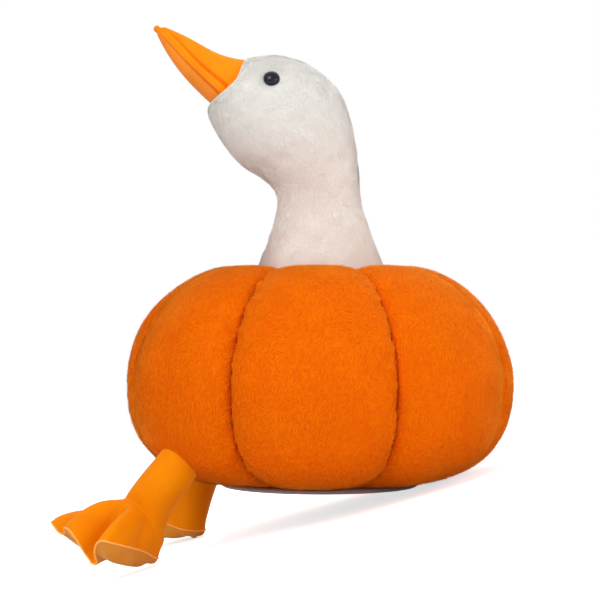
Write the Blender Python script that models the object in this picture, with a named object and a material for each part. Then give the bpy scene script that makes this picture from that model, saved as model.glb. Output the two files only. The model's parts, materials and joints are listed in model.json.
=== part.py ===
"""Plush goose that sits in a stuffed pumpkin.

Every piece is modelled on an upright toy, in metres: +Z up, the goose faces -Y, its left side is +X, and z = 0 is
the underside of the flat base panel. The feet hang below that panel, so the whole toy is then leaned back until the
feet and the rear of the pumpkin touch the ground together, which is how it comes to rest on a table.
"""

import math

import bmesh
import bpy
import numpy as np
from mathutils import Matrix, Vector
from mathutils.bvhtree import BVHTree

MM = 0.001
GAP = 0.3 * MM              # clearance between pieces that are sewn or pressed together

# Pumpkin
GORE_COUNT = 7
GORE_PHASE = math.radians(-8.3)  # where the middle of the front gore is, from straight ahead towards the left
PUMPKIN_RADIUS = 166.5 * MM  # crest of a gore, at the widest height
WAIST_HEIGHT = 91 * MM      # height of the widest place
CROWN_HEIGHT = 188 * MM     # top of the ridge round the neck
CROWN_RADIUS = 76 * MM      # radius of that ridge
FLAT_RADIUS = 78 * MM       # radius of the flat underside of the gores
LOWER_FULLNESS = 2.5        # superellipse exponent below the waist
UPPER_FULLNESS = 1.85       # and above it
SEAM_DEPTH = 15 * MM        # how far the seams pull in at the waist
GORE_STEPS = 8              # facets across a gore
SHOULDER_STEPS = 7          # facets from the waist up to the crown, and down to the base

# Base panel
BASE_RADIUS = 82 * MM
BASE_THICKNESS = 2 * MM
BASE_EDGE = 0.8 * MM        # rounding of its lower rim

# Neck and head: front and back outline points (y, z) and half widths, bottom to bill, all in mm
NECK_SEAT_HEIGHT = 175 * MM
NECK_FOOT_RADIUS = 47.5 * MM
HEAD_STATIONS = (
    ((-49.5, 190.5), (49.5, 190.5), 48.0),
    ((-42.5, 210.5), (43.0, 210.5), 43.0),
    ((-37.0, 235.5), (37.5, 238.5), 38.0),
    ((-39.0, 251.0), (34.0, 263.5), 40.0),
    ((-51.0, 263.0), (31.5, 288.5), 47.5),
    ((-69.0, 275.5), (27.5, 310.5), 53.5),
    ((-85.5, 295.5), (16.0, 337.5), 54.0),
    ((-94.0, 314.5), (-7.0, 359.5), 48.0),
    ((-95.3, 322.5), (-34.0, 367.0), 37.5),
    ((-92.5, 327.0), (-60.0, 366.3), 25.5),
)
HEAD_SIDES = 28
HEAD_STEPS = 2              # facets along the neck between two stations

# Bill: half width at its root, heights above and below the mouth line, and length, in the head's own plane
MOUTH_CORNER = (-84.5 * MM, 336.0 * MM)   # (y, z) of the corner of the mouth, on the face
BILL_TIP = (-141.5 * MM, 391.5 * MM)      # (y, z) of the tip of the mouth line
BILL_HALF_WIDTH = 21.0 * MM
UPPER_BILL_HEIGHT = 15.5 * MM             # of the long even slope of its ridge
UPPER_BILL_FLARE = 19.0 * MM              # further height where it spreads up the forehead
LOWER_BILL_HEIGHT = 13.6 * MM
BILL_TIP_RADIUS = 2.4 * MM
BILL_STEPS = 12
BILL_SIDES = 14

# Eyes
EYE_PLACE = (-34.7 * MM, 343.0 * MM)      # (y, z) on the side of the head
EYE_RADIUS = 7.4 * MM
EYE_DOME = 4.6 * MM
EYE_SINK = 2.2 * MM         # depth of the pocket that the plush makes round the eye
SHANK_RADIUS = 1.6 * MM
SHANK_LENGTH = 12 * MM
WASHER_RADIUS = 8 * MM
WASHER_THICKNESS = 1.2 * MM
WASHER_DEPTH = 8 * MM
EYE_SIDES = 18

# Legs: centre line (x, y, z) of the left one
LEG_RADIUS = 17.5 * MM
ANKLE_RADIUS = 15.5 * MM    # where it ends inside the foot
LEG_ROOT = (75 * MM, -79 * MM, 58 * MM)
LEG_KNEE = (88 * MM, -110.5 * MM, 18 * MM)
LEG_ANKLE = (90.5 * MM, -130.5 * MM, -12 * MM)
LEG_FOOT = (90.5 * MM, -136.5 * MM, -27 * MM)
LEG_SIDES = 20
LEG_STEPS = 3               # facets along the leg between two of those points

# Feet: a padded fan with three toes, about its own origin above the heel
FOOT_ORIGIN = (89.5 * MM, -135 * MM, -45 * MM)
FOOT_SPLAY = math.radians(37)    # outwards from straight ahead
FOOT_PITCH = {"left": math.radians(17), "right": math.radians(5)}  # toes up; the two hang a little differently
FOOT_ROLL = math.radians(3)      # outer edge down
HEEL_RADIUS = 18 * MM
TOE_ANGLES = (-27, 0, 27)        # degrees, inner toe first
TOE_LENGTHS = (78 * MM, 79 * MM, 76 * MM)
TOE_WIDTH = math.radians(14.5)   # half angle of a toe
WEB_SHARE = 0.78                 # where the web ends, as a share of the toes' length
FOOT_RISE = 41 * MM              # padding above the rim, at the ankle
FOOT_FALL = 10.5 * MM            # padding below it
BALL_FALL = 10 * MM              # further padding under the ball of the foot
WEB_SAG = 0.42                   # how much lower the web is than the toes beside it
RIM_THICKNESS = 3.0 * MM
SOLE_THICKNESS = 2.0 * MM
FOOT_SIDES = 40
FOOT_SHARES = (0.2, 0.4, 0.6, 0.78, 0.91, 1.0)

COLOURS = {
    "pumpkin": ((0.90, 0.22, 0.01), 0.85),
    "base": ((0.16, 0.14, 0.15), 0.90),
    "white": ((0.80, 0.76, 0.71), 0.90),
    "bill": ((0.95, 0.32, 0.02), 0.60),
    "velvet": ((0.92, 0.36, 0.01), 0.65),
    "eye": ((0.005, 0.006, 0.01), 0.08),
    "washer": ((0.70, 0.70, 0.68), 0.50),
}


def material(name):
    """A plain finish: colour and roughness from the table above."""
    made = bpy.data.materials.get(name)
    if made:
        return made
    colour, roughness = COLOURS[name]
    made = bpy.data.materials.new(name)
    made.use_nodes = True
    shader = made.node_tree.nodes["Principled BSDF"]
    shader.inputs["Base Color"].default_value = (*colour, 1.0)
    shader.inputs["Roughness"].default_value = roughness
    shader.inputs["Metallic"].default_value = 0.0
    return made


def solid(name, finish, parent, build, grow=0.0):
    """An object whose closed mesh is filled in by build(bm), faces pointing out, grown along its normals."""
    bm = bmesh.new()
    build(bm)
    bmesh.ops.recalc_face_normals(bm, faces=bm.faces)
    bm.normal_update()
    places = [vert.co + vert.normal * grow for vert in bm.verts]
    for vert, place in zip(bm.verts, places):
        vert.co = place
    mesh = bpy.data.meshes.new(name)
    bm.to_mesh(mesh)
    bm.free()
    mesh.shade_smooth()
    mesh.set_sharp_from_angle(angle=math.radians(40))
    obj = bpy.data.objects.new(name, mesh)
    bpy.context.scene.collection.objects.link(obj)
    obj.parent = parent
    mesh.materials.append(material(finish))
    return obj


def loft(bm, rings, closed=False, poles=()):
    """Joins closed rings by quads. The end rings are filled flat, or with fans to the poles, unless it is closed."""
    loops = [[bm.verts.new(point) for point in ring] for ring in rings]
    pairs = list(zip(loops, loops[1:]))
    if closed:
        pairs.append((loops[-1], loops[0]))
    for low, high in pairs:
        for i in range(len(low)):
            k = (i + 1) % len(low)
            bm.faces.new((low[i], low[k], high[k], high[i]))
    for pole, loop in zip(poles, (loops[0], loops[-1])):
        tip = bm.verts.new(pole)
        for i in range(len(loop)):
            bm.faces.new((loop[i], loop[(i + 1) % len(loop)], tip))
    if not closed and not poles:
        bm.faces.new(list(reversed(loops[0])))
        bm.faces.new(loops[-1])


def turned(bm, profile, sides):
    """A solid of revolution about Z, from (radius, height) points that start and end on the axis."""
    inner = profile[1:-1]
    rings = [
        [
            Vector((r * math.cos(a), r * math.sin(a), z))
            for a in (2 * math.pi * k / sides for k in range(sides))
        ]
        for r, z in inner
    ]
    loops = [[bm.verts.new(point) for point in ring] for ring in rings]
    for low, high in zip(loops, loops[1:]):
        for i in range(sides):
            k = (i + 1) % sides
            bm.faces.new((low[i], low[k], high[k], high[i]))
    for (_, z), loop in ((profile[0], loops[0]), (profile[-1], loops[-1])):
        pole = bm.verts.new((0, 0, z))
        for i in range(sides):
            bm.faces.new((loop[i], loop[(i + 1) % sides], pole))


def gore_outline():
    """(radius, height, seam weight) down one side of the pumpkin, from the middle of its top to that of its base."""
    seat = NECK_FOOT_RADIUS + GAP
    points = [
        (seat * 0.5, NECK_SEAT_HEIGHT, 0.0),
        (seat, NECK_SEAT_HEIGHT, 0.0),
        (0.5 * (seat + CROWN_RADIUS), 0.45 * NECK_SEAT_HEIGHT + 0.55 * CROWN_HEIGHT, 0.25),
    ]
    for k in range(SHOULDER_STEPS + 1):
        a = 0.5 * math.pi * k / SHOULDER_STEPS
        power = 2 / UPPER_FULLNESS
        out = math.sin(a) ** power
        up = math.cos(a) ** power
        points.append((
            CROWN_RADIUS + (PUMPKIN_RADIUS - CROWN_RADIUS) * out,
            WAIST_HEIGHT + (CROWN_HEIGHT - WAIST_HEIGHT) * up,
            0.40 + 0.60 * out,
        ))
    floor = BASE_THICKNESS + GAP
    for k in range(1, SHOULDER_STEPS + 1):
        a = 0.5 * math.pi * k / SHOULDER_STEPS
        power = 2 / LOWER_FULLNESS
        out = math.cos(a) ** power
        down = math.sin(a) ** power
        points.append((
            FLAT_RADIUS + (PUMPKIN_RADIUS - FLAT_RADIUS) * out,
            WAIST_HEIGHT - (WAIST_HEIGHT - floor) * down,
            out ** 0.6,
        ))
    points.append((FLAT_RADIUS * 0.5, floor, 0.0))
    return points


def outline_normals(points):
    """Unit normals (radius, height) of the outline, pointing out of the pumpkin."""
    normals = []
    for i in range(len(points)):
        before = points[max(i - 1, 0)]
        after = points[min(i + 1, len(points) - 1)]
        along = Vector((after[0] - before[0], after[1] - before[1])).normalized()
        normals.append(Vector((-along.y, along.x)))
    return normals


def gore_point(outline, normals, i, across, turn, grow=0.0):
    """Point i of the outline at angle turn, pulled in by the seam: across runs from -1 to 1 over the gore."""
    pull = SEAM_DEPTH * (1 - (1 - abs(across) ** 3.0) ** 0.55)
    radius, height, weight = outline[i]
    shift = grow - pull * weight
    radius += normals[i].x * shift
    height += normals[i].y * shift
    return Vector((radius * math.sin(turn), -radius * math.cos(turn), height))


def pumpkin_surface(bm, grow):
    """The whole pumpkin as one closed skin, grown by a clearance: a cutter for what stands on it."""
    outline = gore_outline()
    normals = outline_normals(outline)
    half = math.pi / GORE_COUNT
    rings = []
    for i in range(len(outline)):
        ring = []
        for gore in range(GORE_COUNT):
            for j in range(GORE_STEPS):
                across = 2 * j / GORE_STEPS - 1
                turn = GORE_PHASE + half * (2 * gore + across)
                ring.append(gore_point(outline, normals, i, across, turn, grow))
        rings.append(ring)
    loft(bm, rings)


def build_gore(bm, gore):
    """One stuffed gore: a wedge from the axis to the bulging outer face, clear of the gores beside it."""
    outline = gore_outline()
    normals = outline_normals(outline)
    half = math.pi / GORE_COUNT
    middle = GORE_PHASE + 2 * half * gore
    shift = 0.5 * GAP / math.sin(half)
    away = Vector((math.sin(middle), -math.cos(middle), 0)) * shift
    top = bm.verts.new(Vector((0, 0, outline[0][1])) + away)
    bottom = bm.verts.new(Vector((0, 0, outline[-1][1])) + away)
    columns = []
    for j in range(GORE_STEPS + 1):
        across = 2 * j / GORE_STEPS - 1
        turn = middle + half * across
        columns.append([
            bm.verts.new(gore_point(outline, normals, i, across, turn) + away) for i in range(len(outline))
        ])
    for left, right in zip(columns, columns[1:]):
        bm.faces.new((top, left[0], right[0]))
        for i in range(len(outline) - 1):
            bm.faces.new((left[i], left[i + 1], right[i + 1], right[i]))
        bm.faces.new((bottom, right[-1], left[-1]))
    bm.faces.new([top, *columns[0], bottom])
    bm.faces.new([bottom, *reversed(columns[-1]), top])


def build_base(bm):
    """Flat round panel with a softened lower rim."""
    turned(bm, (
        (0, 0),
        (BASE_RADIUS - BASE_EDGE, 0),
        (BASE_RADIUS, BASE_EDGE),
        (BASE_RADIUS, BASE_THICKNESS),
        (0, BASE_THICKNESS),
    ), 48)


def smooth_between(values, place):
    """Catmull-Rom value at a fractional place along a list of vectors."""
    i = min(int(place), len(values) - 2)
    t = place - i
    before = values[i - 1] if i > 0 else 2 * values[0] - values[1]
    after = values[i + 2] if i + 2 < len(values) else 2 * values[-1] - values[-2]
    a, b = values[i], values[i + 1]
    return 0.5 * (
        2 * a + (b - before) * t + (2 * before - 5 * a + 4 * b - after) * t * t
        + (3 * a - before - 3 * b + after) * t ** 3
    )


def head_rings():
    """Rings round the neck and head: an ellipse between the front and back outline at each place."""
    values = [
        np.array((*front, *back, half)) * MM for front, back, half in HEAD_STATIONS
    ]
    foot = NECK_FOOT_RADIUS
    low = NECK_SEAT_HEIGHT + GAP
    values.insert(0, np.array((-foot, low, foot, low, foot)))
    count = (len(values) - 1) * HEAD_STEPS
    rings = []
    for k in range(count + 1):
        fy, fz, by, bz, half = smooth_between(values, k / HEAD_STEPS)
        centre = Vector((0, (fy + by) / 2, (fz + bz) / 2))
        reach = Vector((0, (by - fy) / 2, (bz - fz) / 2))
        rings.append([
            centre + Vector((half, 0, 0)) * math.cos(a) + reach * math.sin(a)
            for a in (2 * math.pi * s / HEAD_SIDES for s in range(HEAD_SIDES))
        ])
    return rings


def face_frame():
    """The flat of the face that the bill is sewn to: (mouth direction, upward direction, outward normal) in (y, z)."""
    front, back, _ = HEAD_STATIONS[-1]
    flat = Vector((0, back[0] - front[0], back[1] - front[1])).normalized()
    outward = Vector((0, -flat.z, flat.y))
    mouth = Vector((0, BILL_TIP[0] - MOUTH_CORNER[0], BILL_TIP[1] - MOUTH_CORNER[1]))
    return mouth, flat, outward


def bill_sections(sign, clear):
    """Sections of one half of the bill, from the face to the tip: sign is 1 for the upper half, -1 for the lower."""
    mouth, flat, outward = face_frame()
    front, back, _ = HEAD_STATIONS[-1]
    on_face = Vector((0, front[0] * MM, front[1] * MM))
    corner = Vector((0, *MOUTH_CORNER))
    corner += outward * (GAP - (corner - on_face).dot(outward))
    along = Vector((0, *BILL_TIP)) - corner
    rise = Vector((0, -along.z, along.y)).normalized()
    if rise.z < 0:
        rise = -rise
    sections = []
    for k in range(BILL_STEPS + 1):
        s = k / BILL_STEPS
        s = s + 0.06 * math.sin(2 * math.pi * s)
        width = BILL_TIP_RADIUS + (BILL_HALF_WIDTH - BILL_TIP_RADIUS) * (1 - s) ** 0.95
        if sign > 0:
            height = BILL_TIP_RADIUS + UPPER_BILL_HEIGHT * (1 - s) ** 0.5 + UPPER_BILL_FLARE * (1 - s) ** 2.5
        else:
            height = 0.6 * BILL_TIP_RADIUS + (LOWER_BILL_HEIGHT - 0.6 * BILL_TIP_RADIUS) * (1 - s ** 3)
        if k == BILL_STEPS:
            width *= 0.55
            height *= 0.55
        up = (rise * s + flat * (1 - s)).normalized() * sign
        foot = corner + along * s + up * clear
        ring = []
        for j in range(BILL_SIDES + 1):
            a = math.pi * j / BILL_SIDES
            x = math.cos(a)
            h = math.sin(a)
            ring.append(foot + Vector((width * x, 0, 0)) + up * height * h)
        sections.append(ring)
    return sections


def build_bill_half(bm, sign):
    """Upper or lower half of the bill, flat along the mouth line and against the face."""
    loft(bm, bill_sections(sign, GAP / 2))


def eye_profile(grow=0.0):
    """Half section of an eye: a glossy dome on a flat back with a shank. The pocket that takes it is grown."""
    points = [(0, EYE_DOME + grow)]
    for k in range(1, 4):
        a = 0.5 * math.pi * k / 4
        points.append(((EYE_RADIUS + grow) * math.sin(a), (EYE_DOME + grow) * math.cos(a)))
    points += [
        (EYE_RADIUS + grow, 0),
        (EYE_RADIUS + grow, -0.8 * MM - grow),
        (SHANK_RADIUS + grow, -0.8 * MM - grow),
    ]
    if grow:
        points += [
            (SHANK_RADIUS + grow, -WASHER_DEPTH + grow),
            (WASHER_RADIUS + grow, -WASHER_DEPTH + grow),
            (WASHER_RADIUS + grow, -WASHER_DEPTH - WASHER_THICKNESS - grow),
            (SHANK_RADIUS + grow, -WASHER_DEPTH - WASHER_THICKNESS - grow),
        ]
    points += [
        (SHANK_RADIUS + grow, -SHANK_LENGTH - grow),
        (0, -SHANK_LENGTH - grow),
    ]
    return points


def washer_rings():
    """Square section of the locking washer, swept round the shank."""
    inner = SHANK_RADIUS + GAP
    section = (
        (inner, -WASHER_DEPTH),
        (WASHER_RADIUS, -WASHER_DEPTH),
        (WASHER_RADIUS, -WASHER_DEPTH - WASHER_THICKNESS),
        (inner, -WASHER_DEPTH - WASHER_THICKNESS),
    )
    return [
        [Vector((r * math.cos(a), r * math.sin(a), z)) for r, z in section]
        for a in (2 * math.pi * k / EYE_SIDES for k in range(EYE_SIDES))
    ]


def eye_matrix(head, side):
    """Where an eye sits: on the side of the head, sunk a little, with its axis along the head's own normal."""
    tree = BVHTree.FromPolygons([v.co for v in head.data.vertices], [p.vertices for p in head.data.polygons])
    start = Vector((side * 1.0, *EYE_PLACE))
    place, normal, _, _ = tree.ray_cast(start, Vector((-side, 0, 0)))
    turn = normal.to_track_quat("Z", "Y").to_matrix().to_4x4()
    return Matrix.Translation(place - normal * EYE_SINK) @ turn


def place_mesh(obj, matrix):
    """Moves the mesh itself, so that the object's own matrix stays free for its parent."""
    obj.data.transform(matrix)


def tube_rings(points, radii, sides, steps):
    """Rings of a round tube along a smooth curve through points, with a radius at each of them."""
    values = [Vector((*p, r)) for p, r in zip(points, radii)]
    count = (len(values) - 1) * steps
    centres = [smooth_between(values, min(k / steps, len(values) - 1.0001)) for k in range(count + 1)]
    rings = []
    side = Vector((0, -1, 0))
    for k, (*centre, radius) in enumerate(centres):
        along = (centres[min(k + 1, count)] - centres[max(k - 1, 0)]).xyz.normalized()
        across = along.cross(side).normalized()
        over = across.cross(along)
        rings.append([
            Vector(centre) + radius * (across * math.cos(a) + over * math.sin(a))
            for a in (2 * math.pi * s / sides for s in range(sides))
        ])
    return rings


def blend(value):
    """Smooth step from 0 to 1."""
    value = min(1.0, max(0.0, value))
    return value * value * (3 - 2 * value)


def backness(angle):
    """0 over the fan of the toes and 1 behind the heel."""
    spread = math.radians(TOE_ANGLES[-1]) + TOE_WIDTH * 0.6
    return blend((abs(angle) - spread) / (math.pi * 0.42))


def toe_reach(angle):
    """Distance from the middle of the heel to the edge of the foot, at an angle from straight ahead."""
    edge = 0.0
    for toe, length in zip(TOE_ANGLES, TOE_LENGTHS):
        off = (angle - math.radians(toe)) / TOE_WIDTH
        edge = max(edge, length * (WEB_SHARE + (1 - WEB_SHARE) * max(0.0, 1 - abs(off) ** 1.8)))
    back = backness(angle)
    return edge * (1 - back) + HEEL_RADIUS * back


def web_sag(angle):
    """0 along the middle of a toe and over the heel, and 1 in the middle of the web between two toes."""
    if abs(angle) >= math.radians(TOE_ANGLES[-1]):
        return 0.0
    gap = math.radians(TOE_ANGLES[1] - TOE_ANGLES[0])
    return 0.5 - 0.5 * math.cos(2 * math.pi * angle / gap)


def foot_heights(share, angle):
    """(top, bottom) of the padding at a share of the way from the heel to the edge."""
    back = backness(angle)
    crown = (1 - share ** (1.6 + 1.4 * back)) ** (0.8 - 0.3 * back)
    sag = 1 - WEB_SAG * web_sag(angle) * blend((share - 0.15) / 0.5)
    top = 0.5 * RIM_THICKNESS + FOOT_RISE * crown * sag
    fall = FOOT_FALL + BALL_FALL * share * (1 - back)
    bottom = -0.5 * RIM_THICKNESS - fall * (1 - share ** (6 - 4 * back)) ** (1.4 - 0.9 * back)
    return top, bottom


def foot_layer(side, low, high):
    """Rings from the middle of the lower face, out over the rim and in to the middle of the upper face, and poles."""
    rings = []
    for face, order in ((low, FOOT_SHARES), (high, reversed(FOOT_SHARES))):
        for share in order:
            ring = []
            for s in range(FOOT_SIDES):
                angle = 2 * math.pi * (s + 0.5) / FOOT_SIDES - math.pi
                reach = toe_reach(angle) * share
                ring.append(Vector((side * reach * math.sin(angle), -reach * math.cos(angle), face(share, angle))))
            rings.append(ring)
    return rings, (Vector((0, 0, low(0, 0))), Vector((0, 0, high(0, 0))))


def foot_matrix(word, side):
    """Foot frame: splayed outwards, toes a little up and the outer edge down."""
    x, y, z = FOOT_ORIGIN
    return (
        Matrix.Translation((side * x, y, z))
        @ Matrix.Rotation(side * FOOT_SPLAY, 4, "Z")
        @ Matrix.Rotation(-FOOT_PITCH[word], 4, "X")
        @ Matrix.Rotation(side * FOOT_ROLL, 4, "Y")
    )


def build_foot_upper(bm, side):
    """Upper padding of a foot, from the sole's inner face to the top."""
    def low(share, angle):
        return foot_heights(share, angle)[1] + SOLE_THICKNESS + GAP

    def high(share, angle):
        return foot_heights(share, angle)[0]

    rings, poles = foot_layer(side, low, high)
    loft(bm, rings, poles=poles)
    bmesh.ops.triangulate(bm, faces=bm.faces, quad_method="SHORT_EDGE")


def build_sole(bm, side):
    """Thin panel over the whole underside of a foot."""
    def low(share, angle):
        return foot_heights(share, angle)[1]

    def high(share, angle):
        return foot_heights(share, angle)[1] + SOLE_THICKNESS

    rings, poles = foot_layer(side, low, high)
    loft(bm, rings, poles=poles)
    bmesh.ops.triangulate(bm, faces=bm.faces, quad_method="SHORT_EDGE")


def cut(obj, cutter):
    """Takes the cutter's volume out of the object with an exact Boolean."""
    cutter.hide_render = True
    cutter.display_type = "WIRE"
    step = obj.modifiers.new("cut", "BOOLEAN")
    step.operation = "DIFFERENCE"
    step.solver = "EXACT"
    step.object = cutter


def build_head(stance):
    """Neck and head in one, the two halves of the bill, and the eyes with their washers."""
    head = solid("head_and_neck", "white", stance, lambda bm: loft(bm, head_rings()))
    solid("bill_upper", "bill", stance, lambda bm: build_bill_half(bm, 1))
    solid("bill_lower", "bill", stance, lambda bm: build_bill_half(bm, -1))
    for word, side in (("left", 1), ("right", -1)):
        seat = eye_matrix(head, side)
        eye = solid(f"eye_{word}", "eye", stance, lambda bm: turned(bm, eye_profile(), EYE_SIDES))
        washer = solid(
            f"eye_washer_{word}", "washer", stance, lambda bm: loft(bm, washer_rings(), closed=True)
        )
        pocket = solid(
            f"eye_pocket_{word}", "white", stance, lambda bm: turned(bm, eye_profile(GAP), EYE_SIDES)
        )
        for piece in (eye, washer, pocket):
            place_mesh(piece, seat)
        cut(head, pocket)


def build_leg(stance, word, side):
    """Leg, foot and sole of one side. The leg stops just short of the pumpkin and of the foot."""
    points = [(side * x, y, z) for x, y, z in (LEG_ROOT, LEG_KNEE, LEG_ANKLE, LEG_FOOT)]
    radii = (LEG_RADIUS, LEG_RADIUS, LEG_RADIUS, ANKLE_RADIUS)
    leg = solid(
        f"leg_{word}", "velvet", stance,
        lambda bm: loft(bm, tube_rings(points, radii, LEG_SIDES, LEG_STEPS)),
    )
    frame = foot_matrix(word, side)
    foot = solid(f"foot_{word}", "velvet", stance, lambda bm: build_foot_upper(bm, side))
    sole = solid(f"foot_sole_{word}", "velvet", stance, lambda bm: build_sole(bm, side))
    clearance = solid(
        f"foot_clearance_{word}", "velvet", stance, lambda bm: build_foot_upper(bm, side), 2 * GAP
    )
    for piece in (foot, sole, clearance):
        place_mesh(piece, frame)
    cut(leg, clearance)
    return leg, foot, sole


def lowest(points, lean):
    """Height of the lowest of some upright points once the toy leans back."""
    return float((points[:, 2] * math.cos(lean) - points[:, 1] * math.sin(lean)).min())


def resting_lean(front, rear):
    """The lean at which the feet and the rear of the pumpkin reach the ground together, by halving."""
    low, high = 0.0, math.radians(45)
    for _ in range(40):
        lean = 0.5 * (low + high)
        if lowest(front, lean) < lowest(rear, lean):
            low = lean
        else:
            high = lean
    return low


def corners(objects):
    """All vertices of some objects, in the upright frame."""
    return np.array([v.co for obj in objects for v in obj.data.vertices])


def main():
    for obj in list(bpy.data.objects):
        bpy.data.objects.remove(obj)
    stance = bpy.data.objects.new("stance", None)
    bpy.context.scene.collection.objects.link(stance)

    gores = [
        solid(f"pumpkin_gore_{gore + 1}", "pumpkin", stance, lambda bm: build_gore(bm, gore))
        for gore in range(GORE_COUNT)
    ]
    base = solid("base_panel", "base", stance, build_base)
    build_head(stance)
    skin = solid("pumpkin_clearance", "pumpkin", stance, lambda bm: pumpkin_surface(bm, 2 * GAP))
    feet = []
    for word, side in (("left", 1), ("right", -1)):
        leg, foot, sole = build_leg(stance, word, side)
        cut(leg, skin)
        feet += [foot, sole]

    front = corners(feet)
    rear = corners([*gores, base])
    lean = resting_lean(front, rear)
    everything = corners([obj for obj in stance.children_recursive if obj.type == "MESH" and not obj.hide_render])
    x = everything[:, 0]
    y = everything[:, 1] * math.cos(lean) + everything[:, 2] * math.sin(lean)
    stance.rotation_euler.x = -lean
    stance.location = (-0.5 * float(x.min() + x.max()), -0.5 * float(y.min() + y.max()), -lowest(front, lean))
    bpy.context.view_layer.update()


main()
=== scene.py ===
"""Looks of a plush goose that sits in a stuffed pumpkin: short pile, velvet, glossy eyes, and the studio round it.

Every surface is worked out on an upright toy, in metres: the goose faces -Y, its left side is +X, and z = 0 is the
underside of its base panel. place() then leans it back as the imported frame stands, on its feet and the rear of the
pumpkin.
"""

import json
import math

import bpy
import numpy as np
from bpy.props import FloatProperty, FloatVectorProperty, IntProperty, PointerProperty
from mathutils import Matrix, Vector


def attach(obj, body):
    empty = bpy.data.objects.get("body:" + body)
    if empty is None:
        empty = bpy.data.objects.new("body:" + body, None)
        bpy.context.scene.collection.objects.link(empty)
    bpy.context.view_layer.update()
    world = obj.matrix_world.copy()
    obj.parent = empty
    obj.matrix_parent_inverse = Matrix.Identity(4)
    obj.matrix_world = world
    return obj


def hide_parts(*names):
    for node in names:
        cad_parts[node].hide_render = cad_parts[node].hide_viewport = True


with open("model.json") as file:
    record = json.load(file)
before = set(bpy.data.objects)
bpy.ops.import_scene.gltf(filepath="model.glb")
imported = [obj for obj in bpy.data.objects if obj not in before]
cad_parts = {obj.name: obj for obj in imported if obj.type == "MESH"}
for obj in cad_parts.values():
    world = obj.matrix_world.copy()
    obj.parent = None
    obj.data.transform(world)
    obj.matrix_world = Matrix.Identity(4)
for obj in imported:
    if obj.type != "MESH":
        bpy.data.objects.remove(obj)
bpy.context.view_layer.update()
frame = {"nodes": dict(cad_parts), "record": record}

bl_info = {
    "name": "Plush Goose",
    "version": (1, 0, 0),
    "blender": (4, 5, 0),
    "location": "View3D > Sidebar > Goose",
    "description": "Builds the visible surfaces of a plush goose in a pumpkin and a plain studio",
    "category": "Object",
}

MM = 0.001
BASE = next(mount for mount in frame["record"]["mounts"] if mount["name"] == "base")
LEAN = math.atan2(-BASE["axis"][1], -BASE["axis"][2])
STANCE = Matrix.Translation(BASE["pos_m"]) @ Matrix.Rotation(-LEAN, 4, "X")

GORES = 7
# Points round a leg and its foot, which are one skin
FOOT_SIDES = 220
# Edge of the base panel from its upper face to its underside: (radius, height) in millimetres
BASE_EDGE = ((20.0, 4.2), (81.5, 4.2), (84.2, 3.2), (84.5, 1.7), (82.8, 0.4), (78.0, 0.0))
# Middle of the left leg from the pumpkin to the ankle, in millimetres
LEG_LINE = ((90, -80, 59), (95, -110.5, 18), (92.5, -132.5, -10))
# How far back those points lie on the right leg, as shares of what its foot is set back
RIGHT_LEG_BACK = (-1.7, -0.5, 1.1)
# Hollow that an eye presses into the head: its depth and reach
EYE_DENT, EYE_DENT_REACH = 2.6 * MM, 10.5 * MM
# Under the dome of an eye: (share of its radius, height in millimetres)
EYE_BACK = ((1.0, -0.8), (0.9, -1.4), (0.3, -1.6))
# How deep an eye sits, and how it is moved from the middle of its solid
EYE_SINK, EYE_SHIFT = 2.0 * MM, (0, -0.4 * MM, 1.2 * MM)
# The flat that the bill is sewn to: how long it is up the face, and how far it is pressed in
FACE_LENGTH, FACE_PRESS = 51 * MM, 6.5 * MM
TUFT_WIDTH, HEAD_TUFT_WIDTH = 0.6 * MM, 0.5 * MM
# Radians of the weave in a metre, so that a thread is 0.6 mm wide
WEAVE = 5200.0
WASHER_GREY = (0.72, 0.72, 0.70)
# Tint of the sheen that a cloth shows where it turns away
SHEEN = {
    "pumpkin": (1.0, 0.38, 0.03),
    "bill": (1.0, 0.62, 0.25),
    "leg": (1.0, 0.55, 0.10),
    "sole": (1.0, 0.75, 0.5),
    "piping": (1.0, 0.85, 0.6),
}
FLOOR_HALF, FLOOR_SINK = 6.0, 0.4 * MM
FLOOR_GREY, FLOOR_GLOW = (0.85, 0.85, 0.85, 1), 0.66
WHITE = (1, 1, 1, 1)
# What the lamps point at, over the base panel
LIT_HEIGHT = 0.20
# Each lamp: its size, and its place from there, back to the camera, to its right and up, in metres
LAMPS = {
    "key": (1.0, (1.3, -0.75, 1.25)),
    "fill": (1.6, (1.2, 1.4, 0.1)),
    "rim": (1.8, (-1.2, 0.2, 1.3)),
}


# Shapes


def place(points):
    """Points of the upright toy, set down as the frame stands."""
    turn = np.array(STANCE.to_3x3())
    return np.asarray(points, float) @ turn.T + np.array(STANCE.translation)


def unit(vectors):
    """The vectors of an array, each divided by its length."""
    return vectors / np.maximum(np.linalg.norm(vectors, axis=-1, keepdims=True), 1e-12)


def waves(points, length, seed, count=7):
    """Smooth noise of about -1 to 1: the mean of plane waves of one length that run in random directions."""
    rng = np.random.default_rng(seed)
    ways = unit(rng.normal(size=(count, 3)))
    phases = rng.uniform(0, 2 * np.pi, count)
    sizes = rng.uniform(0.75, 1.3, count)
    angles = points @ ways.T * (2 * np.pi * sizes / length) + phases
    return np.sin(angles).sum(-1) / math.sqrt(count / 2) / 1.6


def fill_layer(data, key, values):
    """An array written into a layer of a mesh."""
    data.foreach_set(key, np.ascontiguousarray(values, np.float32).ravel())


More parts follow.
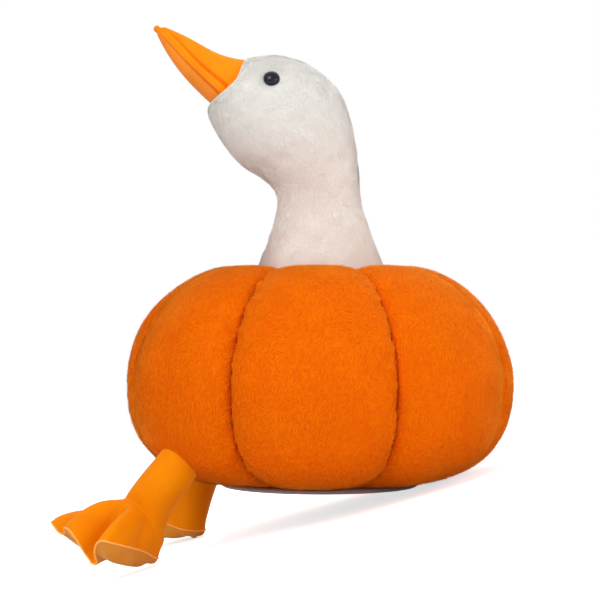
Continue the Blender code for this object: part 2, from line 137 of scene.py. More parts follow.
def add_piece(name, points, faces, material, nodes=(), uv=None, normals=None, tips=None):
    """A finished piece from upright points: it rides on the toy's one body and stands for some nodes."""
    mesh = bpy.data.meshes.new(name)
    mesh.from_pydata(place(points).tolist(), [], faces)
    mesh.polygons.foreach_set("use_smooth", np.ones(len(mesh.polygons), bool))
    if uv is not None:
        fill_layer(mesh.uv_layers.new(name="own").uv, "vector", uv)
    # The tip layer holds the share along each tuft of pile; on a gore's skin it holds the painted shade of the seams
    if tips is not None:
        fill_layer(mesh.attributes.new("tip", "FLOAT", "POINT").data, "value", tips)
    if normals is not None:
        turned = normals @ np.array(STANCE.to_3x3()).T
        fill_layer(mesh.attributes.new("lit", "FLOAT_VECTOR", "POINT").data, "vector", turned)
        mesh.normals_split_custom_set_from_vertices(turned.tolist())
    mesh.update()
    obj = bpy.data.objects.new(name, mesh)
    bpy.context.scene.collection.objects.link(obj)
    mesh.materials.append(material)
    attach(obj, "root")
    if nodes:
        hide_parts(*nodes)
    return obj


def ring_faces(rows, columns):
    """Quads between rows of points that close on themselves, wound so that they face out when a row runs
    anticlockwise as seen from where the rows go."""
    i, j = np.meshgrid(np.arange(rows - 1) * columns, np.arange(columns), indexing="ij")
    k = (j + 1) % columns
    return np.stack([i + j, i + k, i + columns + k, i + columns + j], -1).reshape(-1, 4)


def closed_loft(rings, flip=False):
    """(points, faces) of rings joined by quads, with a pole in the middle of the first and of the last."""
    rows, columns = rings.shape[:2]
    points = np.concatenate([rings.reshape(-1, 3), rings[:1].mean(1), rings[-1:].mean(1)])
    faces = ring_faces(rows, columns)
    first = np.arange(columns)
    after = (first + 1) % columns
    start = np.stack([after, first, np.full(columns, rows * columns)], -1)
    last = (rows - 1) * columns
    end = np.stack([first + last, after + last, np.full(columns, rows * columns + 1)], -1)
    if flip:
        faces, start, end = faces[:, ::-1], start[:, ::-1], end[:, ::-1]
    return points, [*faces.tolist(), *start.tolist(), *end.tolist()]


def at_angle(radius, height, angle):
    """Points at a radius and a height, at an angle from ahead round to the left."""
    return np.stack(np.broadcast_arrays(radius * np.sin(angle), -radius * np.cos(angle), height), -1)


def turned_rings(radius, height, sides):
    """Rings of a shape turned about Z, from the radii and heights of its profile."""
    a = np.linspace(0, 2 * np.pi, sides, endpoint=False)
    return np.stack([radius[:, None] * np.cos(a), radius[:, None] * np.sin(a), height[:, None] + 0 * a], -1)


def grid_normals(grid):
    """Unit normals of a grid of points: the way down its rows crossed with the way along them."""
    return unit(np.cross(np.gradient(grid, axis=0), np.gradient(grid, axis=1)))


def pile_on(sizes, grid, normals, width, seed, comb, shares, stray=0.05):
    """Short pile on a grid: (points, faces, uv, normals, tips) of one thin triangle a tuft.

    Tufts are strewn by area times shares, at all depths of the pile. They lie almost flat along the comb direction
    (across, down), turned by slow and fast waves, as brushed plush lies in soft patches. The stray share stands up.
    """
    rng = np.random.default_rng(seed)
    count = sizes.pile_count
    a, b, c, d = grid[:-1, :-1], grid[:-1, 1:], grid[1:, :-1], grid[1:, 1:]
    area = 0.5 * np.linalg.norm(np.cross(d - a, c - b), axis=-1) * shares
    cell = rng.choice(area.size, count, p=(area / area.sum()).ravel())
    i, j = np.unravel_index(cell, area.shape)
    s, t = rng.uniform(size=(2, count, 1))

    def at(values):
        low = values[i, j] * (1 - t) + values[i, j + 1] * t
        high = values[i + 1, j] * (1 - t) + values[i + 1, j + 1] * t
        return low * (1 - s) + high * s

    root = at(grid)
    normal = unit(at(normals))
    down = grid[i + 1, j] - grid[i, j]
    down = unit(down - normal * (down * normal).sum(1, keepdims=True))
    across = np.cross(normal, down)
    turn = 0.7 * waves(root, 46 * MM, seed + 1) + 0.5 * waves(root, 13 * MM, seed + 2) + rng.normal(0, 0.35, count)
    turn += math.atan2(comb[0], comb[1])
    way = down * np.cos(turn)[:, None] + across * np.sin(turn)[:, None]
    side = np.cross(normal, way)
    up = rng.uniform(size=count) < stray
    lean = np.where(up, rng.uniform(0.5, 1.2, count), rng.normal(1.53, 0.035, count).clip(1.44, 1.57))
    reach = sizes.pile_length * np.where(up, 0.6, 1.0) * rng.normal(1, 0.16, count).clip(0.4, 1.6)
    half = 0.5 * width * np.where(up, 0.5, 1.0)[:, None] * rng.uniform(0.7, 1.3, (count, 1))
    root = root + normal * (sizes.pile_thickness * rng.uniform(-0.3, 0.9, (count, 1)))
    lift = way * np.sin(lean)[:, None] + normal * np.cos(lean)[:, None]
    tip = root + lift * reach[:, None]
    points = np.stack([root + side * half, root - side * half, tip], 1).reshape(-1, 3)
    faces = np.arange(count * 3).reshape(-1, 3)
    lit = unit(normal + 0.12 * way + rng.normal(0, 0.09, (count, 3)))
    cells = math.ceil(math.sqrt(count))
    corner = np.stack([np.arange(count) % cells, np.arange(count) // cells], -1)[:, None, :]
    uv = (corner + np.array([[0.15, 0.15], [0.85, 0.15], [0.5, 0.85]])) / cells
    shade = rng.uniform(-0.18, 0.18, count)
    tips = np.stack([shade, shade, 1 + shade], -1).ravel()
    return points, faces.tolist(), uv.reshape(-1, 2), np.repeat(lit, 3, 0), tips


def catmull_rom(values, places):
    """Smooth curve through the rows of values, at fractional places along them."""
    values = np.asarray(values, float)
    padded = np.concatenate([2 * values[:1] - values[1:2], values, 2 * values[-1:] - values[-2:-1]])
    i = np.minimum(places.astype(int), len(values) - 2)
    t = (places - i)[:, None]
    before, a, b, after = (padded[i + k] for k in range(4))
    return 0.5 * (
        2 * a + (b - before) * t + (2 * before - 5 * a + 4 * b - after) * t**2
        + (3 * a - before - 3 * b + after) * t**3
    )


def smooth(value, low, high):
    """Smooth step from 0 at low to 1 at high."""
    t = np.clip((value - low) / (high - low), 0, 1)
    return t * t * (3 - 2 * t)


def gore_outline(sizes, rows):
    """Evenly spaced (radius, height, weight of the seam) down a gore.

    It runs from the seat of the neck over the crown, down two superellipse quarters that meet at the waist, and in
    under the flat underside.
    """
    a = np.linspace(0, np.pi / 2, 200)
    k = np.linspace(0, 1, 40)[:-1]
    start = sizes.seat_radius * 0.55
    waist, crown = sizes.waist_height, sizes.crown_height
    upper, lower = 2 / sizes.upper_fullness, 2 / sizes.lower_fullness
    top = np.stack([
        start + (sizes.crown_radius - start) * k,
        sizes.seat_height + (crown - sizes.seat_height) * (k * k * (3 - 2 * k)) ** 0.8,
        0.4 * k,
    ], -1)
    out = np.sin(a) ** upper
    shoulder = np.stack([
        sizes.crown_radius + (sizes.radius - sizes.crown_radius) * out,
        waist + (crown - waist) * np.cos(a) ** upper,
        0.4 + 0.6 * out,
    ], -1)
    out = np.cos(a[1:]) ** lower
    belly = np.stack([
        sizes.flat_radius + (sizes.radius - sizes.flat_radius) * out,
        waist - (waist - sizes.floor_height) * np.sin(a[1:]) ** lower,
        out ** 0.6,
    ], -1)
    inner = [[sizes.flat_radius * 0.55, sizes.floor_height, 0]]
    outline = np.concatenate([top, shoulder, belly, inner])
    length = np.concatenate([[0], np.cumsum(np.linalg.norm(np.diff(outline[:, :2], axis=0), axis=1))])
    even = np.linspace(0, length[-1], rows)
    return np.stack([np.interp(even, length, column) for column in outline.T])


def gore_grid(sizes, middle, rows=120, columns=61):
    """Outer face of one gore, how far its points are from the seams (0 at a seam, 1 in the middle), and weights.

    Across, it bulges between its two seams, which pull in most at the waist and pucker where the thread is tight.
    """
    radius, height, weight = gore_outline(sizes, rows)
    along = unit(np.gradient(np.stack([radius, height], -1), axis=0))
    t = np.linspace(-1, 1, columns)
    u = np.sign(t) * (1 - (1 - np.abs(t)) ** 1.45)
    angle = middle + np.pi / GORES * u
    inward = sizes.seam_depth * (1 - (1 - np.abs(u) ** 3) ** 0.55) * weight[:, None]
    base = at_angle(radius[:, None], height[:, None], angle)
    nearness = np.exp(-(1 - np.abs(u)) / 0.13)[None, :] * np.minimum(1, 2.2 * weight)[:, None]
    pucker = 0.5 + 0.5 * waves(base, 17 * MM, 5) + 0.35 * waves(base, 9 * MM, 6)
    slack = waves(base, 70 * MM, 8) * 0.9 * MM * (1 - np.abs(u) ** 4)[None, :] * weight[:, None]
    inward = inward + sizes.pucker * nearness * pucker - slack
    inward = inward + sizes.pile_thickness * np.minimum(1, 3 * weight)[:, None]
    points = at_angle(radius[:, None] + along[:, 1:2] * inward, height[:, None] - along[:, 0:1] * inward, angle)
    return points, (1 - np.abs(u))[None, :] * np.ones((rows, 1)), weight


def head_values(sizes):
    """Stations of the neck and head: front (y, z), back (y, z) and half width, in millimetres."""
    foot = sizes.neck_foot_radius / MM
    low = sizes.neck_seat_height / MM
    return [
        (-foot - 5, low, foot + 9, low, foot + 5),
        (-51.5, 189.0, 54.0, 189.0, 50.5),
        (-43.5, 210.5, 45.5, 210.5, 43.5),
        (-37.0, 235.5, 37.5, 238.5, 38.0),
        (-39.0, 251.0, 34.0, 263.5, 40.0),
        (-51.0, 263.0, 31.5, 288.5, 47.5),
        (-69.0, 275.5, 27.5, 310.5, 53.5),
        (-85.5, 295.5, 16.0, 337.5, 54.0),
        (-94.0, 314.5, -7.0, 359.5, 48.0),
        (-95.3, 322.5, -34.0, 367.0, 37.5),
        (-92.5, 327.0, -60.0, 366.3, 25.5),
    ]


def head_grid(sizes, steps=9, sides=84):
    """Rings round the neck and head: ellipses between the front and back outlines, with soft dents at the eyes."""
    values = np.array(head_values(sizes)) * MM
    places = np.linspace(0, len(values) - 1, (len(values) - 1) * steps + 1)
    fy, fz, by, bz, half = catmull_rom(values, places).T
    centre = np.stack([0 * fy, (fy + by) / 2, (fz + bz) / 2], -1)
    reach = np.stack([0 * fy, (by - fy) / 2, (bz - fz) / 2], -1)
    a = np.linspace(0, 2 * np.pi, sides, endpoint=False) - np.pi / 2
    across = np.stack([np.cos(a), 0 * a, 0 * a], -1)
    rings = centre[:, None] + half[:, None, None] * across[None] + np.sin(a)[None, :, None] * reach[:, None]
    return rings, places


def head_skin(sizes, eyes):
    """The head's rings drawn in by the pile, dented at each eye, and their outward normals."""
    rings, places = head_grid(sizes)
    around = np.roll(rings, -1, 1) - np.roll(rings, 1, 1)
    normals = unit(np.cross(around, np.gradient(rings, axis=0)))
    inward = np.full(rings.shape[:2], sizes.pile_thickness)
    for eye in eyes:
        gap = np.linalg.norm(rings - np.array(eye), axis=-1)
        inward += EYE_DENT * np.exp(-((gap / EYE_DENT_REACH) ** 2))
    inward -= 0.7 * MM * waves(rings, 55 * MM, 21) + 0.25 * MM * waves(rings, 18 * MM, 22)
    front, flat, outward = face_plane(sizes)
    along = (rings[..., 1:] - front) @ flat / FACE_LENGTH
    press = FACE_PRESS * smooth(places, 9.0, 9.9)[:, None] * (1 - smooth(along, 0.55, 0.98))
    pressed = rings - normals * inward[..., None]
    pressed[..., 1:] -= press[..., None] * outward
    return pressed, normals


def face_plane(sizes):
    """The flat of the face that the bill is sewn to, as (y, z): its lower end, its direction, the way out of it."""
    values = head_values(sizes)[-1]
    front = np.array([values[0], values[1]]) * MM
    back = np.array([values[2], values[3]]) * MM
    flat = (back - front) / np.linalg.norm(back - front)
    return front, flat, np.array([-flat[1], flat[0]])


def bill_grid(sizes, sign, clear, steps=80, sides=110):
    """Sections of one half of the bill from the face to the tip: sign 1 is the upper half, -1 the lower.

    A section is half an ellipse over the mouth line. The upper one has a rolled lip along its edge, with a fold above
    it, and both end in the same small round knob.
    """
    front, flat, outward = face_plane(sizes)
    corner = np.array([sizes.mouth_y, sizes.mouth_z])
    corner = corner - outward * ((corner - front) @ outward)
    tip = np.array([sizes.tip_y, sizes.tip_z])
    line = tip - corner
    rise = np.array([-line[1], line[0]]) / np.linalg.norm(line)
    rise = rise * np.sign(rise[1])
    s = np.linspace(-0.12, 1, steps + 1)
    s = np.where(s > 0.8, 0.8 + 0.2 * np.sin(0.5 * np.pi * (s - 0.8) / 0.2), s)
    out = np.maximum(s, 0)
    knob = sizes.tip_radius
    width = knob * 0.55 + (sizes.half_width - knob) * (1 - out) ** 0.95
    if sign > 0:
        height = 0.7 * knob + sizes.upper_height * (1 - out) ** 0.58 + sizes.upper_flare * (1 - out) ** 2.5
        height = height + 3.2 * MM * np.sin(np.pi * np.clip((out - 0.10) / 0.88, 0, 1) ** 1.3) ** 1.6
        width = width * (1 + 0.03 * smooth(1 - out, 0, 0.2))
    else:
        height = 0.3 * knob + (sizes.lower_height - 0.6 * knob) * (1 - out**2.6)
        width = width * (1 - 0.07 * smooth(1 - out, 0, 0.2))
    ball_centre = 1 - knob / np.linalg.norm(line)
    ball = knob * np.sqrt(np.clip(1 - ((s - ball_centre) / (1 - ball_centre)) ** 2, 0, 1))
    narrow = 1 - smooth(s, ball_centre - 0.055, ball_centre + 0.03)
    stem = 0.86 * knob * (s < ball_centre)
    width = np.maximum(width * narrow, np.maximum(ball, stem))
    height = np.maximum(height * narrow, np.maximum(ball, stem))
    up = rise * out[:, None] + flat * (1 - out[:, None])
    up = sign * unit(up)
    bow = 1.2 * MM * np.sin(np.pi * out)
    foot = corner + line * s[:, None] + up * clear - rise * bow[:, None]
    a = np.linspace(0, np.pi, sides + 1)
    x, h = np.cos(a), np.sin(a)
    edge = np.minimum(a, np.pi - a)
    swell = np.ones((len(s), len(a)))
    if sign > 0:
        fold_at = np.deg2rad(13 + 14 * out + 40 * out**4)[:, None]
        fold = np.exp(-(((edge - fold_at) / np.deg2rad(2.4 + 3 * out)[:, None]) ** 2))
        lip = np.exp(-(((edge - 0.5 * fold_at) / (0.42 * fold_at)) ** 2))
        swell += (0.14 * lip - 0.24 * fold) * smooth(1 - out, 0.04, 0.25)[:, None]
    else:
        swell -= 0.10 * np.exp(-((edge / np.deg2rad(12.0)) ** 2)) * smooth(1 - out, 0.05, 0.2)[:, None]
    points = np.zeros((len(s), len(a), 3))
    points[..., 0] = width[:, None] * x * swell
    points[..., 1:] = foot[:, None] + up[:, None] * (height[:, None] * h * swell)[..., None]
    return points


def tube_grid(line, radius, sides=12):
    """Rings of a thin tube along a closed line of points."""
    along = unit(np.roll(line, -1, 0) - np.roll(line, 1, 0))
    over = unit(np.cross(along, np.cross([0, 0, 1], along)))
    across = np.cross(along, over)
    a = np.linspace(0, 2 * np.pi, sides, endpoint=False)[None, :, None]
    return line[:, None] + radius * (across[:, None] * np.cos(a) + over[:, None] * np.sin(a))


def round_foot():
    """Angles round a leg or foot, from the heel over its inner side, its front and its outer side."""
    return np.linspace(-np.pi, np.pi, FOOT_SIDES, endpoint=False)


def foot_plan(sizes, angle):
    """(reach to the edge, share of a toe, how far round to the heel, sag of the web, toes) at angles from ahead.

    Toes stick out of the web by a rounded nose. Past the outermost toes the edge runs straight to the round heel.
    """
    toes = np.deg2rad([-sizes.inner_angle, 0, sizes.outer_angle])
    wide, corner = np.deg2rad(15), np.deg2rad(71)
    noses = [np.clip(1 - (np.abs(angle - toe) / wide) ** 2.4, 0, 1) ** 0.6 for toe in toes]
    nose = np.max(noses, axis=0)
    web = np.where(angle < 0, sizes.web_share, sizes.deep_web_share)
    lengths = (sizes.inner_toe, sizes.middle_toe, sizes.outer_toe)
    reach = np.max([length * (web + (1 - web) * this) for length, this in zip(lengths, noses)], axis=0)
    full = web + (1 - web) * nose
    past = np.where(angle > 0, angle - toes[2], -angle + toes[0])
    outer = np.where(angle > 0, sizes.outer_toe, sizes.inner_toe)
    flank = sizes.heel_radius / np.cos(np.clip(corner - past, 0, corner))
    side = flank + (outer - sizes.heel_radius / np.cos(corner)) * nose
    back = smooth(past, wide * 0.1, wide * 0.1 + np.pi * 0.42)
    sag = np.where(past < 0, 1 - nose**1.5, 0) * np.where(angle < 0, 0.45, 1)
    return np.where(past < 0, reach, side), np.where(past < 0, full, 1), back, sag, noses


def foot_frame(sizes, side, pitch):
    """(middle of the heel, turn of the foot) on one side."""
    turn = np.array((
        Matrix.Rotation(side * sizes.splay, 3, "Z")
        @ Matrix.Rotation(-pitch, 3, "X")
        @ Matrix.Rotation(side * sizes.roll, 3, "Y")
    ))
    heel = np.array(sizes.origin) * [side, 1, 1]
    heel[1] += sizes.right_back * (side < 0)
    return heel, turn


def foot_rings(sizes, side, pitch, share, above):
    """Rings over the upper face (above 1) or the sole (above -1) of a foot, at shares of the way to the rim.

    A share may differ from angle to angle. The upper face is highest over the heel and dips between the toes, where
    the rim dips too. The sole hangs deepest under the ball.
    """
    angle = round_foot()
    reach, full, back, sag, noses = foot_plan(sizes, angle)
    s = share(reach)
    drop = sizes.web_drop * sag * smooth(s, 0.55, 1.0)
    tuck = 1 - sizes.heel_tuck * back * (smooth(s, 0.90, 1.0) if above > 0 else 1)
    if above > 0:
        near = s * (full + (1 - full) * smooth(s, 0.55, 1.0))
        crown = (1 - near ** (1.6 + 1.4 * back)) ** (0.66 - 0.16 * back + 0.2 * sag * smooth(s, 0.5, 0.9))
        dip = 1 - sizes.web_sag * sag * smooth(s, 0.60, 0.98)
        proud = 1 + (0.12 * noses[1] - 0.28 * noses[0]) * smooth(s, 0.3, 0.7)
        height = 0.3 * MM + sizes.rise * crown * dip * proud - drop
        height -= sizes.heel_drop * back * smooth(s, 0.7, 1.0)
    else:
        starts, full_from, full_to, ends = np.deg2rad([-50, -20, 6, 26])
        thin = smooth(angle, starts, full_from) * (1 - smooth(angle, full_to, ends))
        fall = (sizes.fall + sizes.ball_fall * s * (1 - back)) * (1 - 0.4 * thin * smooth(s, 0.4, 0.9))
        shape = (1 - s ** (6 - 4 * back)) ** (1.4 - 0.9 * back)
        height = -0.3 * MM - fall * shape * (1 - 0.35 * sag * s) - drop * s**3
        height -= sizes.heel_drop * back * s**2
    plan = np.stack([side * s * reach * tuck * np.sin(angle), -s * reach * tuck * np.cos(angle), height], -1)
    origin, turn = foot_frame(sizes, side, pitch)
    return plan @ turn.T + origin


def leg_rings(sizes, side, pitch, rows=30):
    """Rings down a leg, numbered round it as the rings of its foot are."""
    line = np.array(LEG_LINE) * MM * [side, 1, 1]
    if side < 0:
        line[:, 1] += np.array(RIGHT_LEG_BACK) * sizes.right_back
    steps = np.linspace(0, 2, rows)
    centre = catmull_rom(line, steps)
    radius = sizes.leg_radius * (1 + sizes.ankle_swell * smooth(steps, 0.6, 2.0))[:, None]
    along = unit(np.gradient(centre, axis=0))
    turn = foot_frame(sizes, side, pitch)[1]
    ahead = unit(-turn[:, 1] - along * (along @ -turn[:, 1])[:, None])
    beside = side * np.cross(along, ahead)
    beside *= np.sign(beside @ (side * turn[:, 0]))[:, None]
    angle = round_foot()[None, :, None]
    ways = ahead[:, None] * np.cos(angle) + beside[:, None] * np.sin(angle)
    uneven = 0.5 * MM * waves(centre[:, None] + sizes.leg_radius * ways, 30 * MM, 41)
    return centre[:, None] + ways * (radius + uneven)[..., None]


def leg_and_foot(sizes, side, pitch):
    """One skin down the leg and over the foot to its rim: the joint at the ankle is drawn smooth."""
    leg = leg_rings(sizes, side, pitch)
    end = sizes.leg_radius * (1 + sizes.ankle_swell)

    def share(reach):
        start = np.clip(end * 1.05 / reach, 0.42, 0.95)
        for _ in range(8):
            start = 0.25 * np.roll(start, 1) + 0.5 * start + 0.25 * np.roll(start, -1)
        step = np.linspace(1, 0, 34)[:, None] ** 1.3
        return 1 - (1 - start) * step

    foot = foot_rings(sizes, side, pitch, share, 1)
    step = np.linspace(0, 1, 8)[1:-1, None, None]
    rings = np.concatenate([leg, leg[-1:] * (1 - step) + foot[:1] * step, foot])
    hold = np.ones(len(rings))
    hold[0] = 0
    hold[-26:] = np.linspace(1, 0, 26) ** 1.5
    angle = round_foot()
    crease = 1 - 0.85 * np.exp(-(((angle + 0.5) / 0.8) ** 2))
    joint = np.exp(-(((np.arange(len(rings)) - len(leg) - 4) / 8) ** 2))[:, None, None]
    for _ in range(60):
        even = rings.copy()
        even[1:-1] = 0.25 * rings[:-2] + 0.5 * rings[1:-1] + 0.25 * rings[2:]
        rings = rings + (even - rings) * (hold[:, None] * crease)[..., None]
        even = 0.25 * np.roll(rings, 4, 1) + 0.5 * rings + 0.25 * np.roll(rings, -4, 1)
        rings = rings + (even - rings) * joint * 0.3
    return rings


# Materials


class Value:
    """A shader socket that adds, subtracts and multiplies like a number, from either side."""

    def __init__(self, graph, socket):
        self.graph = graph
        self.socket = socket

    def math(self, operation, *operands):
        """A Math node on sockets or numbers."""
        inputs = {f"i{place}": operand for place, operand in enumerate(operands)}
        return self.graph.add("ShaderNodeMath", {"operation": operation}, **inputs)

    def __add__(self, other):
        return self.math("ADD", self, other)

    def __sub__(self, other):
        return self.math("SUBTRACT", self, other)

    def __rsub__(self, other):
        return self.math("SUBTRACT", other, self)

    def __mul__(self, other):
        return self.math("MULTIPLY", self, other)

    __radd__ = __add__
    __rmul__ = __mul__

    def clamp(self):
        """Held between 0 and 1."""
        return self.graph.add("ShaderNodeClamp", {}, Value=self)

    def band(self, low, high):
        """0 below low, 1 above high, smooth between."""
        inputs = {"Value": self, "From Min": low, "From Max": high}
        return self.graph.add("ShaderNodeMapRange", {"interpolation_type": "SMOOTHSTEP"}, **inputs)


class Graph:
    """The nodes of a material, which is made by its name, or of a world."""

    def __init__(self, owner):
        self.owner = bpy.data.materials.new(owner) if isinstance(owner, str) else owner
        self.owner.use_nodes = True
        self.tree = self.owner.node_tree
        self.tree.nodes.clear()

    def add(self, kind, settings, output=0, **inputs):
        """A node of this kind: settings first, then its sockets, by name or as i0, i1 and so on."""
        node = self.tree.nodes.new(kind)
        for key, value in settings.items():
            setattr(node, key, value)
        for key, value in inputs.items():
            socket = node.inputs[int(key[1:]) if key[0] == "i" and key[1:].isdigit() else key]
            if isinstance(value, Value):
                self.tree.links.new(value.socket, socket)
            else:
                socket.default_value = value
        return Value(self, node.outputs[output]) if node.outputs else None

    def place(self):
        """Object coordinates."""
        return self.add("ShaderNodeTexCoord", {}, "Object")

    def noise(self, scale, detail=2.0, roughness=0.5):
        """Noise of about 0 to 1."""
        place = self.place()
        return self.add("ShaderNodeTexNoise", {}, Vector=place, Scale=scale, Detail=detail, Roughness=roughness)

    def mix(self, share, one, two):
        """Blend of two colours."""
        one, two = (tone if isinstance(tone, Value) else (*tone, 1) for tone in (one, two))
        return self.add("ShaderNodeMix", {"data_type": "RGBA"}, 2, i0=share, i6=one, i7=two)

    def seen(self):
        """1 for what the camera, a reflection or clear plastic sees of a backdrop, 0 for the light that it gives."""
        seen = self.add("ShaderNodeLightPath", {}, "Is Camera Ray")
        for ray in ("Is Glossy Ray", "Is Transmission Ray"):
            seen = seen.math("MAXIMUM", seen, self.add("ShaderNodeLightPath", {}, ray))
        return seen

    def bump(self, height, distance, strength):
        """Normal from a height."""
        return self.add("ShaderNodeBump", {}, Height=height, Distance=distance, Strength=strength)

    def cloth(self, colour, roughness, specular, weight, spread, tint, normal):
        """A cloth: how much it reflects, and the weight, roughness and tint of its sheen."""
        return self.finish(**{
            "Base Color": colour, "Roughness": roughness, "Specular IOR Level": specular, "Sheen Weight": weight,
            "Sheen Roughness": spread, "Sheen Tint": (*tint, 1), "Normal": normal,
        })

    def finish(self, **inputs):
        """The Principled shader with these inputs, wired to the output."""
        shader = self.add("ShaderNodeBsdfPrincipled", {}, **inputs)
        self.add("ShaderNodeOutputMaterial", {}, i0=shader)
        return self.owner


def between(one, two):
    """The tone halfway between two colours."""
    return tuple(0.5 * (a + b) for a, b in zip(one, two))


def plush_skin(name, dark, light, sheen):
    """Backing of the pile: mottled, a little darker than the tips, dull, and darkened along the seams by painted
    shade in their creases.
    """
    g = Graph(name)
    patches = g.noise(38, 3.0)
    grain = g.noise(900, 2.0)
    # On a gore's skin the tip layer marks its seams, where the colour goes to 0.42 of the dark tone: painted shade in
    # the creases
    seam = g.add("ShaderNodeAttribute", {"attribute_name": "tip"}, "Fac")
    share = (patches * 0.9 + grain * 0.5 - 0.25).clamp()
    colour = g.mix(seam, g.mix(share, dark, light), tuple(0.42 * c for c in dark))
    normal = g.bump(grain + patches, 0.6 * MM, 0.8)
    return g.cloth(colour, g.noise(300) * 0.1 + 0.85, 0.05, 0.15, 0.5, sheen, normal)


def plush_pile(name, root, tip, sheen, low=None, span=(0, 1)):
    """The tufts: darker at the root, brighter at the tip, each a little different.

    Below the second height of span they fade to another tone, which is full at the first: on the head, painted warm
    light thrown up onto the throat and neck from the pumpkin.
    """
    g = Graph(name)
    along = g.add("ShaderNodeAttribute", {"attribute_name": "tip"}, "Fac")
    patches = g.noise(42, 3.0).band(0.3, 0.7)
    share = (along * 0.75 + patches * 0.35 - 0.05).clamp()
    colour = g.mix(share, root, tip)
    if low:
        height = g.add("ShaderNodeSeparateXYZ", {}, "Z", Vector=g.place()) + g.noise(14) * 0.03
        colour = g.mix((1 - height.band(*span)) * 0.9, colour, low)
    normal = g.add("ShaderNodeAttribute", {"attribute_name": "lit"}, "Vector")
    return g.cloth(colour, g.noise(200) * 0.12 + 0.72, 0.02, 0.8, 0.4, sheen, normal)


def velvet(name, dark, light, sheen, weight):
    """Smooth short velvet: soft blotches where it was brushed, and a pale rim where it turns away."""
    g = Graph(name)
    brushed = g.noise(30, 3.0, 0.55)
    grain = g.noise(1400, 1.0)
    share = (brushed * 0.9 + grain * 0.2 - 0.05).clamp()
    normal = g.bump(grain + g.noise(160, 2.0) * 1.5, 0.25 * MM, 0.6)
    return g.cloth(g.mix(share, dark, light), g.noise(120) * 0.15 + 0.55, 0.04, weight, 0.3, sheen, normal)


def woven(name, dark, light):
    """Flat woven cloth: two crossed sets of threads."""
    g = Graph(name)
    place = g.place()
    x, y = (g.add("ShaderNodeSeparateXYZ", {}, axis, Vector=place) for axis in "XY")
    threads = x.math("SINE", x * WEAVE) * y.math("SINE", y * WEAVE) * 0.5 + 0.5
    return g.finish(**{
        "Base Color": g.mix((threads * 0.5 + g.noise(60) * 0.6).clamp(), dark, light),
        "Roughness": g.noise(90) * 0.1 + 0.85,
        "Specular IOR Level": 0.2,
        "Sheen Weight": 0.2,
        "Normal": g.bump(threads, 0.2 * MM, 0.7),
    })


def gloss(name, colour):
    """Polished plastic with faint swirls."""
    g = Graph(name)
    return g.finish(**{
        "Base Color": g.mix(g.noise(400), colour, tuple(1.6 * c for c in colour)),
        "Roughness": g.noise(700) * 0.03 + 0.06,
        "IOR": 1.32,
        "Normal": g.bump(g.noise(250), 0.03 * MM, 0.3),
    })


def moulded(name, colour):
    """Plain moulded plastic."""
    g = Graph(name)
    return g.finish(**{
        "Base Color": g.mix(g.noise(150), colour, tuple(0.85 * c for c in colour)),
        "Roughness": g.noise(500) * 0.15 + 0.4,
        "Normal": g.bump(g.noise(900), 0.05 * MM, 0.4),
    })


# Sizes and colours


def a_length(name, description, millimetres):
    """A size that Blender shows with its unit."""
    return FloatProperty(name=name, description=description, default=millimetres * MM, unit="LENGTH")


def an_angle(name, description, degrees):
    """An angle that Blender shows in degrees."""
    return FloatProperty(name=name, description=description, default=math.radians(degrees), subtype="ANGLE")


def a_number(name, description, default):
    """A plain number."""
    return FloatProperty(name=name, description=description, default=default)


def a_colour(name, description, default):
    """A linear colour."""
    return FloatVectorProperty(name=name, description=description, default=default, subtype="COLOR")


class PumpkinLooks(bpy.types.PropertyGroup):
    """Sizes and colours of the pumpkin."""

    phase: an_angle("Front gore", "Where the middle of the front gore is, from ahead to the left", -8.3)
    radius: a_length("Radius", "Crest of a gore at the waist", 166.5)
    waist_height: a_length("Waist height", "Height of the widest place", 91)
    crown_height: a_length("Crown height", "Top of the ridge round the neck", 188)
    crown_radius: a_length("Crown radius", "Radius of that ridge", 76)
    seat_radius: a_length("Seat radius", "Radius of the hollow that takes the neck", 47.8)
    seat_height: a_length("Seat height", "Height of that hollow", 175)
    flat_radius: a_length("Flat radius", "Radius of the flat underside", 78)
    floor_height: a_length("Floor height", "Height of that underside", 4.5)
    upper_fullness: a_number("Upper fullness", "Roundness above the waist", 1.85)
    lower_fullness: a_number("Lower fullness", "Roundness below the waist", 2.5)
    seam_depth: a_length("Seam depth", "How far the seams pull in at the waist", 15)
    pucker: a_length("Pucker", "Depth of the puckers along the seams", 3.2)
    pile_length: a_length("Pile length", "Length of a tuft", 3.2)
    pile_thickness: a_length("Pile thickness", "Depth of the brushed pile", 1.1)
    pile_count: IntProperty(name="Tufts", description="Tufts on each gore", default=60000)
    dark: a_colour("Dark", "Root of the pile", (0.80, 0.080, 0.0004))
    light: a_colour("Light", "Tip of the pile", (1.0, 0.195, 0.0008))
    base_dark: a_colour("Base dark", "Shade of the base panel", (0.20, 0.16, 0.16))
    base_light: a_colour("Base light", "Light of the base panel", (0.38, 0.32, 0.32))


